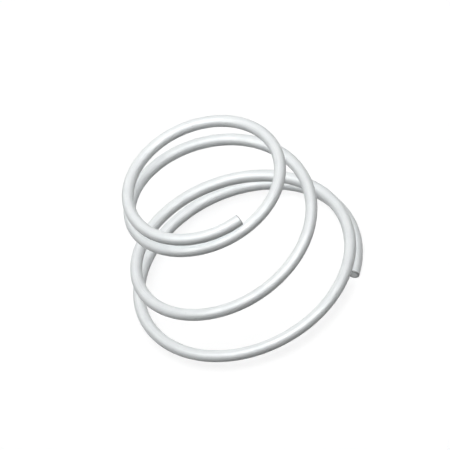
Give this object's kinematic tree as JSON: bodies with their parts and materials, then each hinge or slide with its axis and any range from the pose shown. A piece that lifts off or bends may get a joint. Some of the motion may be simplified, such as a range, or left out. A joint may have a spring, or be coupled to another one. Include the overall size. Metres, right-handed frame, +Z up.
{
  "type": "conical spring",
  "caption": "Conical compression spring of round steel wire, wound right-handed, wide at the foot and narrow at the top, with closed unground ends.",
  "frame": {"origin": "centre of the large end's seat: the cone's axis at the height of the lowest wire", "axes": "+Z up the cone's axis from the large end to the small end; +X from the axis towards the large end's cut tip"},
  "size_m": [0.0364, 0.0362, 0.0254],
  "materials": {
    "zinc_plated_wire": "bright zinc plate over drawn spring steel, satin"
  },
  "bodies": {
    "root": {"spring": "zinc_plated_wire"}
  },
  "joints": []
}
